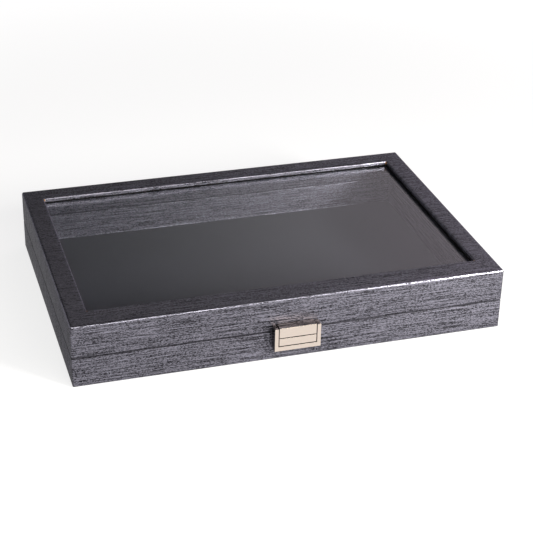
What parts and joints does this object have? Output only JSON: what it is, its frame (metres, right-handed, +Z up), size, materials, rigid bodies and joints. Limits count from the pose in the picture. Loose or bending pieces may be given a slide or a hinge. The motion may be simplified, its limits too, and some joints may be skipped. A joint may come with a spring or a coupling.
{
  "type": "watch box",
  "caption": "Flat rectangular display box with covered board walls, a glazed hinged lid, a flocked tray floor and a push-button clasp at the front.",
  "frame": {"origin": "middle of the flat underside", "axes": "+X along the width to the right as seen from the front, +Y from the clasp at the front to the hinges at the back, +Z up"},
  "size_m": [0.35, 0.2547, 0.053],
  "materials": {
    "cover": "woven-look embossed covering with a silvery sheen",
    "lining": "card faced with the woven-look covering",
    "board": "raw fibreboard",
    "card": "grey board",
    "flock": "short dark flock",
    "felt": "thin felt",
    "glass": "clear float glass",
    "plated": "satin champagne nickel on a zinc casting",
    "steel": "plain steel",
    "hinge": "nickel-plated pressed steel"
  },
  "bodies": {
    "base": {"base_front_board": "board", "base_back_board": "board", "base_left_board": "board", "base_right_board": "board", "base_bottom_board": "board", "base_cover": "cover", "underside_felt": "felt", "collar_front": "lining", "collar_back": "lining", "collar_left": "lining", "collar_right": "lining", "pad_card": "card", "pad_flock": "flock", "clasp_housing": "plated", "clasp_back_plate": "steel", "catch_spring": "steel", "catch_rivets": "steel", "clasp_screws": "steel", "left_hinge_base_leaf": "hinge", "right_hinge_base_leaf": "hinge", "hinge_pins": "hinge", "base_hinge_screws": "hinge"},
    "lid": {"lid_front_board": "board", "lid_back_board": "board", "lid_left_board": "board", "lid_right_board": "board", "top_front_rail": "board", "top_back_rail": "board", "top_left_rail": "board", "top_right_rail": "board", "lid_cover": "cover", "glass_pane": "glass", "lid_lining_front": "lining", "lid_lining_back": "lining", "lid_lining_left": "lining", "lid_lining_right": "lining", "hasp": "plated", "hasp_screws": "steel", "left_hinge_lid_leaf": "hinge", "right_hinge_lid_leaf": "hinge", "lid_hinge_screws": "hinge"},
    "button": {"push_button": "plated"}
  },
  "joints": [
    {"name": "lid_hinge", "type": "hinge", "parent": "base", "child": "lid", "pos_m": [0, 0.1222, 0.0255], "axis": [-1, 0, 0], "range_deg": [0, 100]},
    {"name": "button_press", "type": "slide", "parent": "base", "child": "button", "axis": [0, 1, 0], "range_m": [0, 0.0015], "stiffness_N_per_m": 800, "springref_m": -0.0008, "deforming": ["catch_spring"]}
  ]
}
